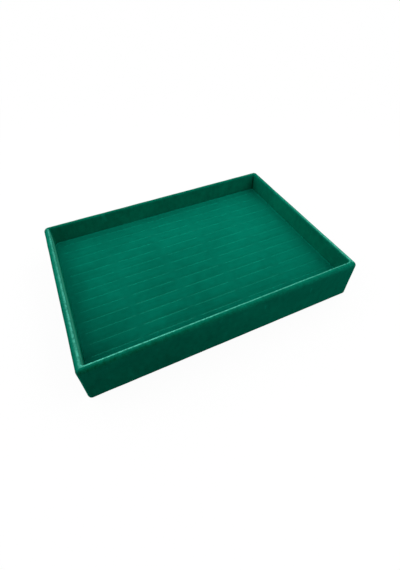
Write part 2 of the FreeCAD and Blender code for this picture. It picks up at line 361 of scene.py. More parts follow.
def velvet(name, pile, sheen, nap):
    """Velvet of one pile colour. Its streaks are longest along the axis for which nap is smallest."""
    finish = Finish(name)
    tuft = finish.noise(TUFT_SCALE)
    finish.dent = finish.noise(DENT_SCALE)
    patch = finish.noise(PATCH_SCALE, detail=FINE_DETAIL, distortion=PATCH_SWIRL)
    streak = finish.noise(STREAK_SCALE, stretch=nap)
    uneven = tuft.spread(TUFT_SPREAD) + finish.dent.spread(DENT_SPREAD)
    uneven = uneven + patch.spread(PATCH_SPREAD) + streak.spread(STREAK_SPREAD)
    finish.colour = finish.shade(pile, 1 + uneven)
    finish.set(Roughness=tuft.between(*PILE_ROUGHNESS), Specular_IOR_Level=0.0,
               Sheen_Weight=sheen, Sheen_Roughness=SHEEN_ROUGHNESS, Sheen_Tint=SHEEN_TINT)
    finish.bump(TUFTS_IN_RELIEF * tuft + (1 - TUFTS_IN_RELIEF) * finish.dent, PILE_DEPTH, PILE_RELIEF)
    return finish


print(f"velvet with tufts of {1 / TUFT_SCALE / MM:.2f} mm")

# %% [markdown]
# The pad's pile
# Along a slit the pile stands apart and shows its paler flanks, which also carry a painted highlight for the
# sheen on the rolled lips. Just behind the slit, a thin line of painted shade darkens it. Some slits are used
# more than others, so each carries its own wear. Where a slit ends the pile is ruffled, and along the right
# edge painted shade darkens the pile. The mesh marks the places at the slits with attributes, and the colour
# follows them.

# %% Finish the pad's pile
PAD_COLOUR = (0.0004, 0.082, 0.052, 1)
# Paler parted pile, which also serves as a painted highlight for the sheen on the slit's lips.
PARTED_PILE_AND_SHEEN_COLOUR = (0.038, 0.255, 0.172, 1)
# Colour of the dark join, also used for painted shade.
SEAM_AND_SHADE_COLOUR = (0.0002, 0.030, 0.006, 1)
PAD_SHEEN = 1.0
PAD_NAP = (0.06, 1.6, 1.6)
PARTED_SHARE = 0.17
PARTED_UNEVEN = (0.8, 1.0)
RUFFLE_SCALE = 1100
RUFFLED_SHARE = 0.14
RUFFLED_FROM = (0.52, 0.70)
LEE_SHADE = 0.34
# Painted shade: a darker band across this span along the pad's right edge.
RIGHT_EDGE_SHADE = 0.13
RIGHT_EDGE_SHADED = (54.0 * MM, 56.6 * MM)


def pad_finish():
    """Velvet parted and ruffled at the slits, with a painted highlight on their lips and painted shade behind
    them and along the right edge.
    """
    finish = velvet("pad_velvet", PAD_COLOUR, PAD_SHEEN, PAD_NAP)
    wear = finish.attribute("slit_wear")
    across = finish.axes(finish.place, "X")[0]
    # Painted shade: a thin line just behind each slit, and a band along the pad's right edge.
    painted_shade = LEE_SHADE * finish.attribute("slit_lee") * wear + RIGHT_EDGE_SHADE * across.ramp(*RIGHT_EDGE_SHADED)
    colour = finish.mix(painted_shade, finish.colour, SEAM_AND_SHADE_COLOUR)
    # Pale flanks of the parted pile, partly a painted highlight for the sheen on the rolled lips.
    parted_and_sheen = finish.attribute("slit_edge") * wear * finish.dent.ramp(*NOISE_RANGE).between(*PARTED_UNEVEN)
    ruffled = finish.attribute("slit_end") * finish.noise(RUFFLE_SCALE, FINE_DETAIL).ramp(*RUFFLED_FROM)
    opened = PARTED_SHARE * parted_and_sheen + RUFFLED_SHARE * ruffled
    finish.set(Base_Color=finish.mix(opened, colour, PARTED_PILE_AND_SHEEN_COLOUR))
    return finish.material


pad_pile = pad_finish()
print(f"{pad_pile.name} mixed from {len(pad_pile.node_tree.nodes)} nodes")

# %% [markdown]
# The wrap's pile
# The wrap is handled more than the pad. Strokes and scuffs have opened its pile here and there, and in places
# painted shade darkens it. The rim is worn pale, unevenly, tuft by tuft, and its pale lines also carry a
# painted highlight for the sheen on the crests. At a glancing view the tips of the pile show pale, which a
# Layer Weight node paints into the colour as sheen. The join of the strip's ends is a thin dark line. Strokes
# could be painted on, but noise that is stretched upwards gives them without any picture.

# %% Finish the wrap's pile
WRAP_COLOUR = (0.0006, 0.118, 0.069, 1)
OPEN_PILE_COLOUR = (0.004, 0.250, 0.168, 1)
# Pale worn pile, also a painted highlight for the sheen on the rim's crests.
WORN_AND_SHEEN_COLOUR = (0.090, 0.520, 0.385, 1)
WRAP_SHEEN = 0.23
WRAP_NAP = (0.8, 0.8, 0.25)
STROKE_SCALE = 300
STROKE_STRETCH = (1.0, 1.0, 0.28)
STROKE_FROM = (0.68, 0.78)
STROKE_SHARE = 0.30
# Place along the front wall, height and half length of each scuff
SCUFFS = [(-50.0 * MM, 16.0 * MM, 0.4 * MM),
          (14.0 * MM, 14.5 * MM, 1.8 * MM),
          (36.8 * MM, 13.5 * MM, 2.0 * MM)]
SCUFF_WIDTH = 0.4 * MM
SCUFF_EDGE = 0.8
SCUFF_SHARE = 0.45
FRONT_ONLY = (-41.0 * MM, -41.8 * MM)
BRUSH_SCALE = 260
BRUSH_STRETCH = (1.0, 1.0, 0.6)
BRUSH_SWIRL = 0.8
HAIR_STRETCH = (1.0, 1.0, 0.4)
HAIR_SHADE = (1.5, 2.5)
# Painted sheen: colour of the pile tips seen at a glancing view.
TIP_SHEEN_COLOUR = (0.17, 0.50, 0.38, 1)
TIP_SHEEN = 0.36
TIP_BLEND = 0.5
TIP_FACING = (0.72, 0.95)
WORN_THROUGH = (0.20, 0.36)
WORN_UNEVEN = 0.20
FRAYED_UNEVEN = 0.25


def scuffs(finish):
    """Short upright scuffs on the front wall."""
    across, deep, up = finish.axes(finish.place, "XYZ")
    marks = 0.0
    for place, height, reach in SCUFFS:
        aside = (across - place) / SCUFF_WIDTH
        above = (up - height) / reach
        marks = marks + (1 - (aside * aside + above * above)).ramp(0.0, SCUFF_EDGE)
    return marks * deep.ramp(*FRONT_ONLY)


def wrap_finish():
    """Velvet with strokes and scuffs, painted shade, painted sheen on its tips, a worn rim with a painted
    highlight and a dark join.
    """
    finish = velvet("wrap_velvet", WRAP_COLOUR, WRAP_SHEEN, WRAP_NAP)
    stroke = finish.noise(STROKE_SCALE, stretch=STROKE_STRETCH).ramp(*STROKE_FROM)
    brushed = STROKE_SHARE * stroke + SCUFF_SHARE * scuffs(finish)
    colour = finish.mix(brushed, finish.colour, OPEN_PILE_COLOUR)
    sweep = finish.noise(BRUSH_SCALE, FINE_DETAIL, BRUSH_STRETCH, BRUSH_SWIRL)
    hairs = finish.noise(RUFFLE_SCALE, FINE_DETAIL, HAIR_STRETCH).ramp(*NOISE_RANGE)
    # Painted shade, broken up by brushed noise and single hairs.
    painted_shade = finish.attribute("painted_shade") * sweep * hairs.between(*HAIR_SHADE)
    colour = finish.mix(painted_shade, colour, SEAM_AND_SHADE_COLOUR)
    # Painted sheen: the tips show pale at a glancing view, only where the lining is lit near its top.
    facing = finish.node("ShaderNodeLayerWeight", {}, {"Blend": TIP_BLEND}, output="Facing")
    tip_sheen = TIP_SHEEN * finish.attribute("tip_sheen") * facing.ramp(*TIP_FACING)
    colour = finish.mix(tip_sheen, colour, TIP_SHEEN_COLOUR)
    # Worn pale pile on the rims, with a painted highlight for the sheen on their crests.
    worn_and_sheen = finish.attribute("worn_and_sheen")
    opened = finish.mix(worn_and_sheen.ramp(*WORN_THROUGH), OPEN_PILE_COLOUR, WORN_AND_SHEEN_COLOUR)
    speckle = finish.noise(RUFFLE_SCALE, FINE_DETAIL).ramp(*NOISE_RANGE).between(-1, 1)
    tufts = 1 + speckle * (WORN_UNEVEN + FRAYED_UNEVEN * finish.attribute("frayed"))
    colour = finish.mix(worn_and_sheen * tufts, colour, opened)
    finish.set(Base_Color=finish.mix(finish.attribute("seam"), colour, SEAM_AND_SHADE_COLOUR))
    return finish.material


wrap_pile = wrap_finish()
print(f"{wrap_pile.name} mixed from {len(wrap_pile.node_tree.nodes)} nodes")

# %% [markdown]
# Outlines and loops
# Both velvet skins go round a rectangle with round corners, only at different insets and heights.
# So one function gives that outline, and the skin is a stack of edge loops that follow a side view:
# in under the base, out to the edge, up, over and down. Every loop has as many points as the next,
# which makes clean four-sided faces that bend well.


# %% Loops of a rectangle with round corners
def even_shares(steps):
    return [step / steps for step in range(steps + 1)]


def rounded_outline(half_length, half_width, radii, along, across, bend_steps):
    """Plan of the outline, counter-clockwise from the front left corner, with a radius for each corner.
    The points of the long and short sides stand at the shares along and across."""
    corners = ((-1, -1), (1, -1), (1, 1), (-1, 1))
    centres = [Vector((x * (half_length - radius), y * (half_width - radius)))
               for (x, y), radius in zip(corners, radii)]
    points = []
    for turn, following in enumerate((1, 2, 3, 0)):
        angle = math.radians(90 * turn - 90)
        outward = Vector((math.cos(angle), math.sin(angle)))
        start = centres[turn] + radii[turn] * outward
        end = centres[following] + radii[following] * outward
        shares = along if turn % 2 == 0 else across
        if turn > 1:
            shares = [1 - share for share in reversed(shares)]
        points += [start.lerp(end, share) for share in shares]
        for step in range(1, bend_steps):
            bend = angle + math.radians(90) * step / bend_steps
            points.append(centres[following] + radii[following] * Vector((math.cos(bend), math.sin(bend))))
    return points


def add_loop(mesh, points, height):
    return [mesh.verts.new((point.x, point.y, height)) for point in points]


def skin(mesh, loops):
    """Faces between each loop and the next."""
    for loop, following in zip(loops, loops[1:]):
        for here, there in zip(range(len(loop)), list(range(1, len(loop))) + [0]):
            mesh.faces.new((loop[here], loop[there], following[there], following[here]))


print("outlines and skins are ready")

# %% [markdown]
# Side views and pieces
# A side view is a list of insets and heights, made of straight runs and quarter circles.
# A finished mesh becomes an object at the origin, in the tray's own metres, as the solids are. A cloth is
# made as its outer face alone, and a Solidify modifier then thickens it inward, so its outside stays
# where it was drawn.

# %% Draw side views and make pieces
FROM_BELOW = 270
FROM_OUTSIDE = 180
FROM_ABOVE = 90


def quarter_round(inset, height, radius, start, steps):
    """Side view of a rounded edge: a quarter circle about (inset, height), clockwise from start degrees."""
    turns = [math.radians(start - 90 * step / steps) for step in range(steps + 1)]
    return [(inset + radius * math.cos(turn), height + radius * math.sin(turn)) for turn in turns]


def straight_run(start, end, steps):
    """Points between two places of the side view, without its ends."""
    return [tuple(Vector(start).lerp(Vector(end), step / steps)) for step in range(1, steps)]


def new_piece(name, mesh, material):
    """Turn a finished bmesh into an object at the origin."""
    piece = bpy.data.objects.new(name, bpy.data.meshes.new(name))
    mesh.to_mesh(piece.data)
    mesh.free()
    piece.data.materials.append(material)
    piece.data.shade_smooth()
    scene.collection.objects.link(piece)
    return piece


def thicken(piece, thickness):
    """Give a cloth its thickness, inward from the side that shows."""
    wall = piece.modifiers.new("thickness", "SOLIDIFY")
    wall.thickness = thickness
    wall.offset = -1.0


wrap_low, wrap_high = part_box("velvet_wrap")
board_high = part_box("base_board")[1]
wall_low, wall_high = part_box("front_wall_board")
velvet_thickness = wrap_high.x - board_high.x
board_thickness = wall_high.y - wall_low.y
wall_thickness = board_thickness + 2 * velvet_thickness
print(f"velvet {velvet_thickness / MM:.2f} mm on boards of {board_thickness / MM:.2f} mm")

# %% [markdown]
# The velvet wrap
# One strip of velvet is glued round the outside, rolled over the rim and down the inside, and turned in
# under the base. A cloth simulation would only give back the boards, to which the strip is glued all over,
# so its side view is drawn: a softly rounded rim, sharper on the inside, and a tight bend at the foot.

# %% Draw the wrap's side view
CORNER_RADII = [1.8 * MM, 1.7 * MM, 1.9 * MM, 2.4 * MM]
RIM_OUTER_RADIUS = 1.7 * MM
RIM_INNER_RADIUS = 0.7 * MM
BOTTOM_RADIUS = 0.6 * MM
LINING_CORNER_RADIUS = 0.8 * MM
TURN_IN_WIDTH = 12.0 * MM
TIGHTEST_CORNER = 0.25 * MM
TURN_IN_STEPS = 7
BOTTOM_STEPS = 4
WALL_STEPS = 11
RIM_OUTER_STEPS = 8
RIM_INNER_STEPS = 6
LINING_STEPS = 17


def wrap_side_view():
    """Inset, height and plan corner radii of each loop, from the turned-in edge to the foot of the lining.
    The corners shrink inward from the outside and grow outward from the lining."""
    foot = wrap_low.z
    shoulder = wrap_high.z - RIM_OUTER_RADIUS
    lip = wrap_high.z - RIM_INNER_RADIUS
    outside = [(TURN_IN_WIDTH, foot)]
    outside += straight_run((TURN_IN_WIDTH, foot), (BOTTOM_RADIUS, foot), TURN_IN_STEPS)
    outside += quarter_round(BOTTOM_RADIUS, foot + BOTTOM_RADIUS, BOTTOM_RADIUS, FROM_BELOW, BOTTOM_STEPS)
    outside += straight_run((0, foot + BOTTOM_RADIUS), (0, shoulder), WALL_STEPS)
    outside += quarter_round(RIM_OUTER_RADIUS, shoulder, RIM_OUTER_RADIUS, FROM_OUTSIDE, RIM_OUTER_STEPS)
    inner = wall_thickness - RIM_INNER_RADIUS
    lining = quarter_round(inner, lip, RIM_INNER_RADIUS, FROM_ABOVE, RIM_INNER_STEPS)
    lining += straight_run((wall_thickness, lip), (wall_thickness, board_high.z), LINING_STEPS)
    lining += [(wall_thickness, board_high.z)]
    view = []
    for inset, height in outside:
        view.append((inset, height, [max(radius - inset, TIGHTEST_CORNER) for radius in CORNER_RADII]))
    for inset, height in lining:
        view.append((inset, height, [LINING_CORNER_RADIUS + wall_thickness - inset] * 4))
    return view


wrap_view = wrap_side_view()
print(f"{len(wrap_view)} loops from the turned-in edge to the foot of the lining")

# %% [markdown]
# Wear, painted highlight and painted shade on the wrap
# Hands wear a tray where they take hold of it: in lines along the rims, and on the brow of the front wall.
# The rim lines also carry a painted highlight for the sheen on the crests. Painted shade darkens the pile at
# the foot of the left lining, at the left end of the back lining and towards the front's left end, and the
# front grows darker towards its foot.
# Wear and painted shade are worked out for each point of the mesh from its side, its depth below the rim and
# its place along the side, because a pattern in space could not tell the lining from the outside.

# %% Say where the wrap is worn and where highlight and shade are painted
# The rim lines are worn pile and also a painted highlight for the sheen on the crests.
# Each line on a rim: distance from outside, half width, wear at the left or front end and at the other
RIM_WEAR_AND_SHEEN = {"front": [(2.1 * MM, 0.28 * MM, 1.06, 0.58), (1.4 * MM, 0.45 * MM, 0.18, 0.18)],
            "right": [(1.55 * MM, 0.6 * MM, 0.64, 0.16)],
            "back": [],
            "left": [(2.1 * MM, 0.5 * MM, 0.66, 0.46), (1.2 * MM, 0.55 * MM, 0.26, 0.26)]}
BROW_WEAR = 0.12
BROW_PALE = (1.0 * MM, 4.0 * MM)
# Painted shade on the wrap: at the bend of the front rim, towards the front's foot, at the left lining's foot
# and at the back lining's left end.
BEND_DEPTH = 0.6 * MM
BEND_REACH = 0.8 * MM
BEND_SHADE = 0.60
FOOT_SHADE = 0.50
LINING_SHADE = 0.60
LINING_LIT = (4.0 * MM, 6.8 * MM)
BACK_SHADE = 0.20
BACK_SHADE_END = 0.4


def nearest_side(place):
    gaps = {"front": place.y - wrap_low.y, "right": wrap_high.x - place.x,
            "back": wrap_high.y - place.y, "left": place.x - wrap_low.x}
    return min(gaps, key=gaps.get)


def share_along(side, place):
    """How far along its side a place lies, from 0 at the left or front end to 1 at the other."""
    axis = 0 if side in ("front", "back") else 1
    return (place[axis] / wrap_high[axis] + 1) / 2


def fade(depth, start, end):
    """One up to start, falling evenly to zero at end."""
    return min(1.0, max(0.0, (end - depth) / (end - start)))


def bell(distance, width):
    """One in the middle, falling smoothly to almost nothing at twice the width."""
    return math.exp(-(distance / width) ** 2)


def worn_and_sheen_at(place, inset):
    """How far the pile has opened, with a painted highlight for the sheen on the rim's crests: in lines along
    each rim, and on the brow of the front.
    """
    side = nearest_side(place)
    share = share_along(side, place)
    depth = wrap_high.z - place.z
    worn_and_sheen = 0.0
    if side == "front" and inset < RIM_OUTER_RADIUS:
        worn_and_sheen = BROW_WEAR * share * fade(depth, *BROW_PALE)
    if depth < RIM_OUTER_RADIUS:
        for line, width, low, high in RIM_WEAR_AND_SHEEN[side]:
            worn_and_sheen = max(worn_and_sheen, (low + (high - low) * share) * bell(inset - line, width))
    return worn_and_sheen


def painted_shade_at(place, inset):
    """How much painted shade darkens the pile: at the foot of the left lining, at the left end of the back
    lining, and on the front towards its left end, most at the bend to the rim, growing darker towards its
    foot."""
    side = nearest_side(place)
    depth = wrap_high.z - place.z
    if side == "left" and inset > RIM_OUTER_RADIUS:
        return LINING_SHADE * (1 - fade(depth, *LINING_LIT))
    if side == "back" and inset > RIM_OUTER_RADIUS:
        return BACK_SHADE * fade(share_along(side, place), 0, BACK_SHADE_END)
    if side == "front" and inset < RIM_OUTER_RADIUS:
        bend = BEND_SHADE * bell(depth - BEND_DEPTH, BEND_REACH)
        return (1 - share_along(side, place)) * (bend + FOOT_SHADE * depth / wrap_high.z)
    return 0.0


print(f"wear in {sum(len(lines) for lines in RIM_WEAR_AND_SHEEN.values())} lines along the rims")

# %% [markdown]
# Wrap the walls
# The loops of the side view become the strip, and each point gets its wear, painted highlight and painted
# shade. The strip's ends meet in the back right corner, where the pile leaves a thin dark line. Small smooth
# noise keeps the cloth from looking machined.

# %% Wrap the walls
WRAP_STEP = 1.2 * MM
WRAP_BEND_STEPS = 8
SEAM_DEPTH = 0.25 * MM
SEAM_REACH = 0.5 * MM
RIM_SEAM = 0.3
FRAYED_DEPTH = (0.8 * MM, 1.7 * MM)
RUMPLE_HEIGHT = 0.06 * MM
RUMPLE_SIZE = 7 * MM


def sink_seam(loops, column, seam):
    """Press the join of the strip's ends in, and mark it on the layer seam.
    On the rim the pile closes over it."""
    for loop in loops:
        middle = loop[column].co.copy()
        for vert in loop[column - WRAP_BEND_STEPS:column + WRAP_BEND_STEPS]:
            share = RIM_SEAM if vert.co.z > wrap_high.z - RIM_OUTER_RADIUS else 1.0
            vert[seam] = share * max(0.0, 1 - (vert.co - middle).length / SEAM_REACH)
            vert.co -= vert.normal * SEAM_DEPTH * vert[seam]


def velvet_wrap():
    mesh = bmesh.new()
    seam, worn_and_sheen, painted_shade, frayed, tip_sheen = (mesh.verts.layers.float.new(name) for name in
                                         ("seam", "worn_and_sheen", "painted_shade", "frayed", "tip_sheen"))
    along = even_shares(round(2 * wrap_high.x / WRAP_STEP))
    across = even_shares(round(2 * wrap_high.y / WRAP_STEP))
    loops = []
    for inset, height, corners in wrap_view:
        half_length = wrap_high.x - inset
        half_width = wrap_high.y - inset
        outline = rounded_outline(half_length, half_width, corners, along, across, WRAP_BEND_STEPS)
        loops.append(add_loop(mesh, outline, height))
        depth = wrap_high.z - height
        for vert in loops[-1]:
            # Each point gets its wear with a painted highlight, its painted shade, its fraying and where
            # painted sheen may show.
            vert[worn_and_sheen] = worn_and_sheen_at(vert.co, inset)
            vert[painted_shade] = painted_shade_at(vert.co, inset)
            vert[frayed] = fade(depth, *FRAYED_DEPTH)
            vert[tip_sheen] = fade(depth, *LINING_LIT) if inset > RIM_OUTER_RADIUS else 1.0
    skin(mesh, loops)
    back_right = len(along) + len(across) + 3 * WRAP_BEND_STEPS // 2 - 2
    mesh.normal_update()
    sink_seam(loops, back_right, seam)
    for vert in mesh.verts:
        vert.co += vert.normal * RUMPLE_HEIGHT * noise.noise(vert.co / RUMPLE_SIZE)
    piece = new_piece("velvet_wrap_cloth", mesh, wrap_pile)
    thicken(piece, velvet_thickness)
    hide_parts("velvet_wrap")
    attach(piece, "tray")
    return piece


wrap = velvet_wrap()
print(f"wrap of {len(wrap.data.polygons)} faces")

# %% [markdown]
# Slits of the pad
# A steel die cuts all the slits at once, so each is the same short cut repeated in columns and rows.
# As many are laid out as fit inside the margin, which is how such a die is planned.

# %% Lay out the slits
SLIT_LENGTH = 20.4 * MM
SLIT_GAP = 2.0 * MM
ROW_PITCH = 5.55 * MM
SLIT_MARGIN = 1.8 * MM
PAD_CORNER_RADIUS = 1.6 * MM

pad_low, pad_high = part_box("pad_velvet")
column_pitch = SLIT_LENGTH + SLIT_GAP
columns = math.floor((2 * (pad_high.x - SLIT_MARGIN) + SLIT_GAP) / column_pitch)
rows = math.floor(2 * (pad_high.y - SLIT_MARGIN) / ROW_PITCH) + 1
first_row = pad_low.y + SLIT_MARGIN
field_half = Vector((pad_high.x - PAD_CORNER_RADIUS, pad_high.y - PAD_CORNER_RADIUS))
print(f"{columns} columns and {rows} rows of slits")

# %% [markdown]
# A tile of velvet
# The tile is the patch of cloth round one slit. Its lines crowd towards the slit, where two lips part a
# little. Its points carry what the pile needs to know: how near the slit is, where it ends, how far the cloth
# swells between two slits and where painted shade lies behind one.

# %% Shape the velvet's tile
SLIT_STEPS = 14
SLIT_END_STEP = 0.35 * MM
SLIT_BLUNTNESS = 4
SLIT_GAPE = 0.02 * MM
LIP_REACH = 0.6 * MM
LIP_WIDTH = 0.26 * MM
LIP_HOLD = 3
LIP_LINES = [0, 0.12 * MM, 0.3 * MM, LIP_REACH]
OPEN_LINES = [1.3 * MM, 2.2 * MM, 3.2 * MM, 4.2 * MM, ROW_PITCH - LIP_REACH]
LEE_PLACE = 0.95 * MM
LEE_WIDTH = 0.45 * MM


def tile_lines():
    """Where the lines of a tile run: along the slit, in front of it and behind it."""
    half = SLIT_LENGTH / 2
    slit = [half * (2 * share - 1) for share in even_shares(SLIT_STEPS)]
    ends = [half + SLIT_END_STEP, column_pitch / 2]
    lines_x = [-end for end in reversed(ends)] + slit + ends
    return lines_x, [-line for line in reversed(LIP_LINES)], LIP_LINES + OPEN_LINES


def inside_slit(x):
    """One at the middle of the slit, falling to zero at its ends."""
    return 1 - min(abs(x) / (SLIT_LENGTH / 2), 1) ** SLIT_BLUNTNESS


def lay_patch(mesh, lines_x, lines_y, height, gape):
    """Level patch on a grid of lines, with its edge at the slit pushed open by gape."""
    grid = []
    for y in lines_y:
        near = max(0.0, 1 - abs(y) / LIP_REACH)
        grid.append([mesh.verts.new((x, y + near * inside_slit(x) * gape, height)) for x in lines_x])
    for row, following in zip(grid, grid[1:]):
        for here in range(len(row) - 1):
            mesh.faces.new((row[here], row[here + 1], following[here + 1], following[here]))
    return grid


def slit_tile(name, material):
    """Flat patch round one slit, from just in front of it to just in front of the next."""
    mesh = bmesh.new()
    slit_edge, slit_end, slit_swell, slit_lee = (mesh.verts.layers.float.new(layer) for layer in
                                                 ("slit_edge", "slit_end", "slit_swell", "slit_lee"))
    lines_x, before, behind = tile_lines()
    for lines_y, side in ((before, -1), (behind, 1)):
        grid = lay_patch(mesh, lines_x, lines_y, 0, side * SLIT_GAPE)
        for y, row in zip(lines_y, grid):
            for x, vert in zip(lines_x, row):
                inside = inside_slit(x)
                vert[slit_edge] = bell(y, LIP_WIDTH) * min(1.0, LIP_HOLD * inside)
                vert[slit_end] = bell(y, LIP_REACH) * (1 - inside)
                vert[slit_swell] = abs(math.sin(math.pi * y / ROW_PITCH)) * inside
                # Painted shade in a thin line just behind the slit.
                vert[slit_lee] = bell(y - LEE_PLACE, LEE_WIDTH) * inside
    return new_piece(name, mesh, material)


velvet_tile = slit_tile("velvet_tile", pad_pile)
print(f"tile of {len(velvet_tile.data.polygons)} faces")

# %% [markdown]
# Repeat the tile
# Geometry Nodes suit what repeats: the tile is placed on a grid of points, made real and welded into one
# sheet, and each slit draws its own wear, more towards the front and less towards the right end.
# Tiles at the border are pressed into the field, so that its edge is straight. The foam uses the same tree.

# %% Build the tree that repeats a tile
LEAST_WEAR = 0.12
MIDDLE_WEAR = 0.18
NEAR_WEAR = 0.7
WORN_FROM_LEFT = (-60 * MM, -20 * MM)
WORN_FROM_BACK = (30 * MM, -40 * MM)
WORN_FROM_RIGHT = (62 * MM, -10 * MM)
WEAR_CHANCE = (0.7, 1.0)


def slit_wear(graph, place, seed):
    """How far each slit is worn, by its place and by chance."""
    across, deep = graph.axes(place, "XY")
    reach = LEAST_WEAR + MIDDLE_WEAR * across.ramp(*WORN_FROM_LEFT)
    reach = reach + NEAR_WEAR * deep.ramp(*WORN_FROM_BACK) * across.ramp(*WORN_FROM_RIGHT)
    low, high = WEAR_CHANCE
    chance = graph.node("FunctionNodeRandomValue", {"data_type": "FLOAT"}, {2: low, 3: high, "Seed": seed},
                        output=1)
    return chance * reach


def slit_field_tree():
    """Tree that repeats a tile in columns and rows and welds the tiles into one field."""
    tree = bpy.data.node_groups.new("slit_field", "GeometryNodeTree")
    kinds = {"Tile": "Object", "Columns": "Int", "Rows": "Int", "Column Pitch": "Float", "Row Pitch": "Float",
             "Middle": "Vector", "Lowest": "Vector", "Highest": "Vector", "Weld": "Float",
             "Lip Drop": "Float", "Swell": "Float", "Seed": "Int", "Finish": "Material"}
    for name, kind in kinds.items():
        tree.interface.new_socket(name, in_out="INPUT", socket_type=f"NodeSocket{kind}")
    tree.interface.new_socket("Field", in_out="OUTPUT", socket_type="NodeSocketGeometry")
    graph = Graph(tree)
    entry = tree.nodes.new("NodeGroupInput")
    given = {name: Wire(graph, entry.outputs[name]) for name in kinds}
    centres = graph.node("GeometryNodeMeshGrid", {}, {
        "Size X": (given["Columns"] - 1) * given["Column Pitch"],
        "Size Y": (given["Rows"] - 1) * given["Row Pitch"],
        "Vertices X": given["Columns"], "Vertices Y": given["Rows"]})
    centres = graph.node("GeometryNodeTransform", {}, {"Geometry": centres, "Translation": given["Middle"]})
    tile = graph.node("GeometryNodeObjectInfo", {}, {"Object": given["Tile"]}, output="Geometry")
    tiles = graph.node("GeometryNodeInstanceOnPoints", {}, {"Points": centres, "Instance": tile})
    place = graph.node("GeometryNodeInputPosition")
    # The slit's wear also scales the painted highlight on its lips and the painted shade behind it.
    worn_and_sheen = slit_wear(graph, place, given["Seed"])
    tiles = graph.node("GeometryNodeStoreNamedAttribute", {"data_type": "FLOAT", "domain": "INSTANCE"},
                       {"Geometry": tiles, "Name": "slit_wear", "Value": worn_and_sheen})
    field = graph.node("GeometryNodeRealizeInstances", {}, {"Geometry": tiles})
    inner = graph.node("ShaderNodeVectorMath", {"operation": "MAXIMUM"}, {0: place, 1: given["Lowest"]})
    inner = graph.node("ShaderNodeVectorMath", {"operation": "MINIMUM"}, {0: inner, 1: given["Highest"]})
    field = graph.node("GeometryNodeSetPosition", {}, {"Geometry": field, "Position": inner})
    field = graph.node("GeometryNodeMergeByDistance", {}, {"Geometry": field, "Distance": given["Weld"]})
    edge, swell, wear = (graph.node("GeometryNodeInputNamedAttribute", {"data_type": "FLOAT"}, {"Name": name})
                         for name in ("slit_edge", "slit_swell", "slit_wear"))
    lift = swell * given["Swell"] - edge * wear * given["Lip Drop"]
    rise = graph.node("ShaderNodeCombineXYZ", {}, {"Z": lift})
    field = graph.node("GeometryNodeSetPosition", {}, {"Geometry": field, "Offset": rise})
    field = graph.node("GeometryNodeSetMaterial", {}, {"Geometry": field, "Material": given["Finish"]})
    graph.join(tree.nodes.new("NodeGroupOutput").inputs["Field"], field)
    return tree


slit_tree = slit_field_tree()
print(f"tree of {len(slit_tree.nodes)} nodes")

# %% [markdown]
# Run the tree
# A modifier on an otherwise empty carrier runs the tree, and its result is copied into a plain mesh, to which
# the sides are added later. The carrier and the tile have then done their work and are removed.

# %% Make a field of slits
WELD = 0.01 * MM
FIELD_HEADROOM = 1.0
WEAR_SEED = 7


def slit_field(tile, top, drop, swell, material):
    """Run the tree on a carrier object and return the field as a bmesh."""
    carrier = bpy.data.objects.new("slit_carrier", bpy.data.meshes.new("slit_carrier"))
    scene.collection.objects.link(carrier)
    modifier = carrier.modifiers.new("slits", "NODES")
    modifier.node_group = slit_tree
    margin = Vector((*field_half, FIELD_HEADROOM))
    middle = (0, first_row + (rows - 1) * ROW_PITCH / 2, top)
    values = {"Tile": tile, "Columns": columns, "Rows": rows, "Column Pitch": column_pitch,
              "Row Pitch": ROW_PITCH, "Middle": middle, "Lowest": -margin, "Highest": margin,
              "Weld": WELD, "Lip Drop": drop, "Swell": swell, "Seed": WEAR_SEED, "Finish": material}
    for item in slit_tree.interface.items_tree:
        if item.in_out == "INPUT":
            modifier[item.identifier] = values[item.name]
    depsgraph = bpy.context.evaluated_depsgraph_get()
    baked = bpy.data.meshes.new_from_object(carrier.evaluated_get(depsgraph))
    mesh = bmesh.new()
    mesh.from_mesh(baked)
    carrier.modifiers.remove(modifier)
    for used in (carrier, tile):
        bpy.data.objects.remove(used)
    bpy.data.meshes.remove(baked)
    return mesh


LIP_DROP = 0.036 * MM
SWELL = 0.02 * MM
velvet_field = slit_field(velvet_tile, pad_high.z, LIP_DROP, SWELL, pad_pile)
print(f"field of {len(velvet_field.faces)} faces")

# %% [markdown]
# Sides of a pad
# The field of slits is only the flat top. Sides are made of loops like the wrap's, from underneath up to
# the top, where the last one is stitched to the border of the field: side points one to one, and each corner
# as a small fan.

# %% Stitch sides to a field
PAD_BEND_STEPS = 6
FIELD_DEPTH = 0.5 * MM


def border_lines(mesh, height):
    """Border points of the field near a height, by side, in the order of the loops."""
    level = [vert for vert in mesh.verts if abs(vert.co.z - height) < FIELD_DEPTH]

    def on(axis, side):
        found = [vert for vert in level if abs(vert.co[axis] - side * field_half[axis]) < WELD]
        return sorted(found, key=lambda vert: vert.co[1 - axis])
    return [on(1, -1), on(0, 1), on(1, 1)[::-1], on(0, -1)[::-1]]


def stitch(mesh, loop, sides):
    """Join a loop to the border of the field."""
    start = 0
    for side in sides:
        for here in range(len(side) - 1):
            mesh.faces.new((loop[start + here], loop[start + here + 1], side[here + 1], side[here]))
        start += len(side) - 1
        for step in range(PAD_BEND_STEPS):
            mesh.faces.new((loop[start + step], loop[(start + step + 1) % len(loop)], side[-1]))
        start += PAD_BEND_STEPS


def add_pad_sides(mesh, half, corner_radius, view):
    """Loops of a pad's sides, stitched to the field of slits."""
    sides = border_lines(mesh, view[-1][1])
    along = [(vert.co.x / field_half.x + 1) / 2 for vert in sides[0]]
    across = [(vert.co.y / field_half.y + 1) / 2 for vert in sides[1]]
    loops = []
    for inset, height in view:
        corners = [max(corner_radius - inset, TIGHTEST_CORNER)] * 4
        outline = rounded_outline(half.x - inset, half.y - inset, corners, along, across, PAD_BEND_STEPS)
        loops.append(add_loop(mesh, outline, height))
    skin(mesh, loops)
    stitch(mesh, loops[-1], sides)
    return loops


